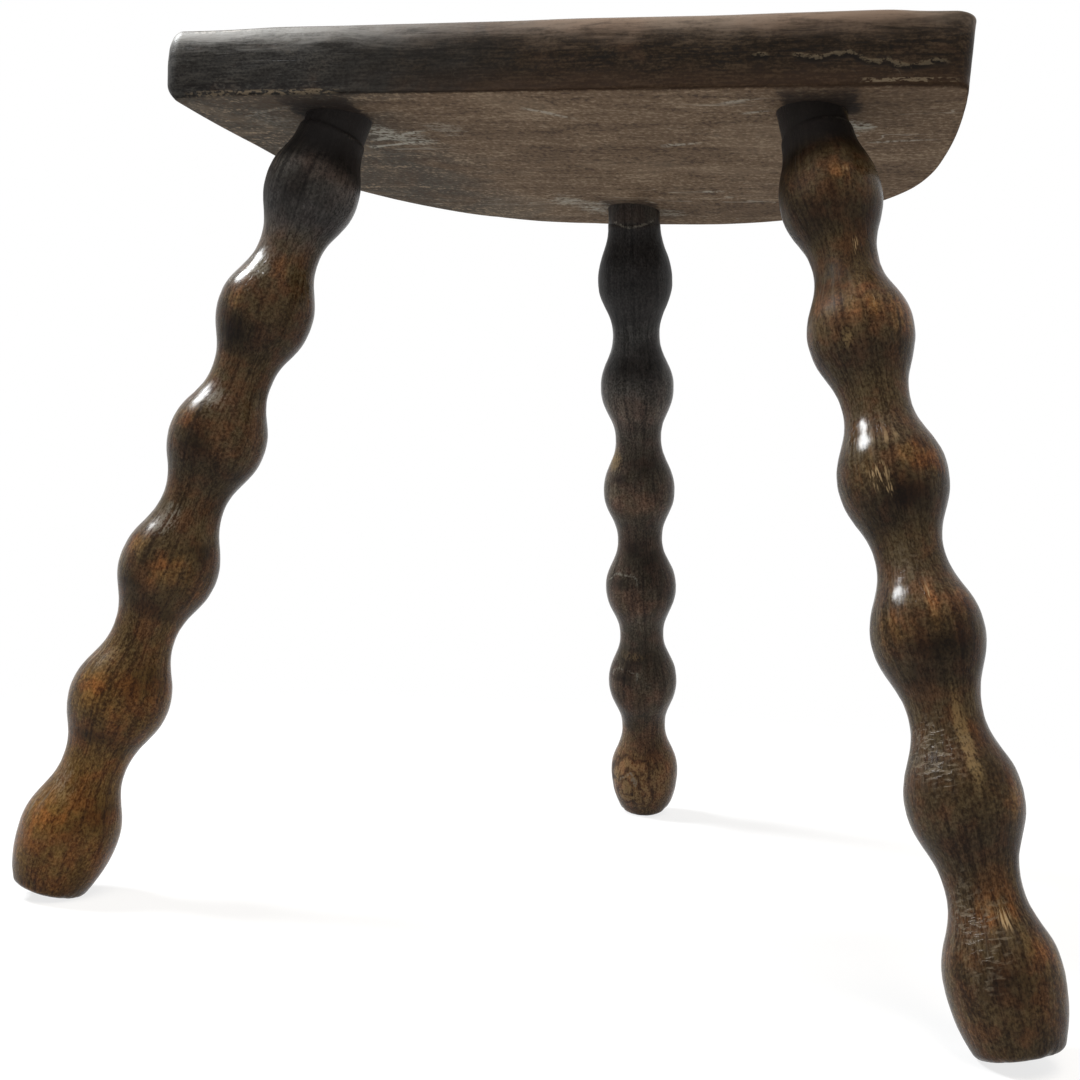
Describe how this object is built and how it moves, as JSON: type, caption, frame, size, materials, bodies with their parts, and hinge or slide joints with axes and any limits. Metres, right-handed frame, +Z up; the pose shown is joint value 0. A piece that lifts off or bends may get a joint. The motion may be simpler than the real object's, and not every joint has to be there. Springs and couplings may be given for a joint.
{
  "type": "milking stool",
  "caption": "Low stool with a D-shaped plank seat on splayed bobbin-turned legs, each fixed by a wedged through tenon.",
  "frame": {"origin": "on the floor, under the centre of the stool's bounding box", "axes": "+Z up through the seat top, +X along the straight front edge of the seat, +Y from that edge to the rounded back"},
  "size_m": [0.341, 0.2924, 0.303],
  "materials": {
    "seat_wood": "dark stained plank, worn and dry underneath",
    "leg_wood": "dark stained turning under worn varnish",
    "wedge_wood": "end grain of a driven wedge, rubbed level"
  },
  "bodies": {
    "root": {"seat": "seat_wood", "leg_left": "leg_wood", "leg_right": "leg_wood", "leg_rear": "leg_wood", "wedge_left": "wedge_wood", "wedge_right": "wedge_wood", "wedge_rear": "wedge_wood"}
  },
  "joints": []
}
